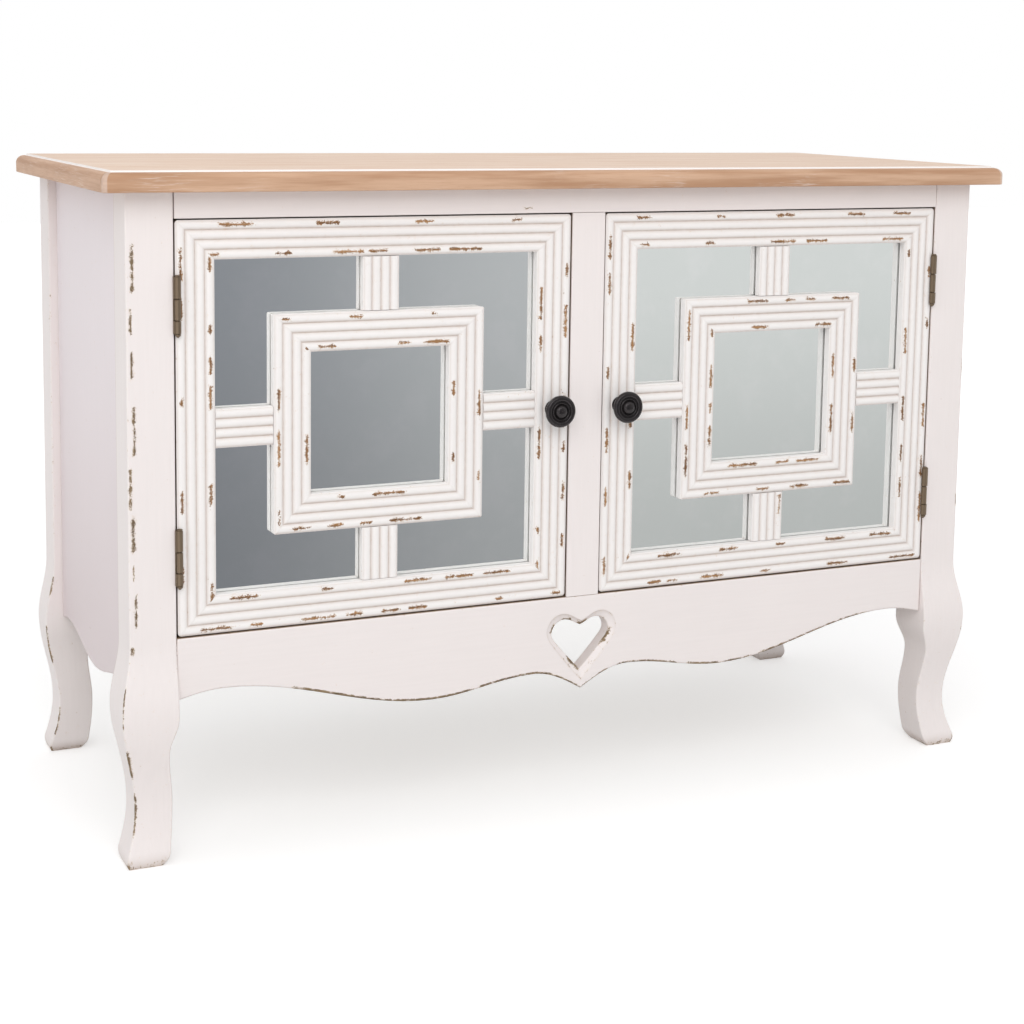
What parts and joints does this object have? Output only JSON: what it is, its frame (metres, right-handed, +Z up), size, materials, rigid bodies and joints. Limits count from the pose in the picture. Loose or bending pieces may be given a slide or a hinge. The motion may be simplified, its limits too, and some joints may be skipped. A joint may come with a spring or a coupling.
{
  "type": "sideboard",
  "caption": "Low painted sideboard on cabriole legs, with mirrored double doors in reeded frames, a scrolled apron with a heart cut-out and a washed wood top.",
  "frame": {"origin": "middle of the footprint, on the floor", "axes": "+X to the right as seen from the front, +Y from the doors to the back panel, +Z up"},
  "size_m": [1.1, 0.46, 0.7305],
  "materials": {
    "carcass_paint": "worn off-white paint over wood",
    "door_paint": "worn white paint over wood",
    "washed_oak": "limed pale wood, matt",
    "inner_board": "thinly painted board",
    "mirror_glass": "silvered glass",
    "backing_fibreboard": "bare brown hardboard",
    "aged_bronze": "dark antique bronze",
    "black_iron": "dark, slightly polished",
    "zinc_steel": "zinc plated",
    "catch_plastic": "matt beige plastic"
  },
  "bodies": {
    "cabinet": {"back_left_post": "carcass_paint", "back_panel": "inner_board", "back_right_post": "carcass_paint", "bottom_back_rail": "carcass_paint", "bottom_board": "inner_board", "centre_stile": "carcass_paint", "door_catch": "catch_plastic", "front_apron": "carcass_paint", "front_left_post": "carcass_paint", "front_right_post": "carcass_paint", "left_lower_hinge_pin": "aged_bronze", "left_post_lower_hinge_leaf": "aged_bronze", "left_post_upper_hinge_leaf": "aged_bronze", "left_side_panel": "carcass_paint", "left_upper_hinge_pin": "aged_bronze", "right_lower_hinge_pin": "aged_bronze", "right_post_lower_hinge_leaf": "aged_bronze", "right_post_upper_hinge_leaf": "aged_bronze", "right_side_panel": "carcass_paint", "right_upper_hinge_pin": "aged_bronze", "shelf": "inner_board", "top_back_rail": "carcass_paint", "top_front_rail": "carcass_paint", "top_panel": "washed_oak"},
    "left_door": {"left_door_backing_board": "backing_fibreboard", "left_door_bottom_rail": "door_paint", "left_door_hinge_bar": "door_paint", "left_door_hinge_stile": "door_paint", "left_door_knob": "black_iron", "left_door_latch_bar": "door_paint", "left_door_latch_stile": "door_paint", "left_door_lower_bar": "door_paint", "left_door_lower_hinge_leaf": "aged_bronze", "left_door_mirror": "mirror_glass", "left_door_square_bottom": "door_paint", "left_door_square_hinge_side": "door_paint", "left_door_square_latch_side": "door_paint", "left_door_square_top": "door_paint", "left_door_strike_plate": "zinc_steel", "left_door_top_rail": "door_paint", "left_door_upper_bar": "door_paint", "left_door_upper_hinge_leaf": "aged_bronze"},
    "right_door": {"right_door_backing_board": "backing_fibreboard", "right_door_bottom_rail": "door_paint", "right_door_hinge_bar": "door_paint", "right_door_hinge_stile": "door_paint", "right_door_knob": "black_iron", "right_door_latch_bar": "door_paint", "right_door_latch_stile": "door_paint", "right_door_lower_bar": "door_paint", "right_door_lower_hinge_leaf": "aged_bronze", "right_door_mirror": "mirror_glass", "right_door_square_bottom": "door_paint", "right_door_square_hinge_side": "door_paint", "right_door_square_latch_side": "door_paint", "right_door_square_top": "door_paint", "right_door_strike_plate": "zinc_steel", "right_door_top_rail": "door_paint", "right_door_upper_bar": "door_paint", "right_door_upper_hinge_leaf": "aged_bronze"}
  },
  "joints": [
    {"name": "left_door_hinge", "type": "hinge", "parent": "cabinet", "child": "left_door", "pos_m": [-0.4692, -0.2032, 0.4612], "axis": [0, 0, -1], "range_deg": [0, 180]},
    {"name": "right_door_hinge", "type": "hinge", "parent": "cabinet", "child": "right_door", "pos_m": [0.4692, -0.2032, 0.4612], "axis": [0, 0, 1], "range_deg": [0, 180]}
  ]
}
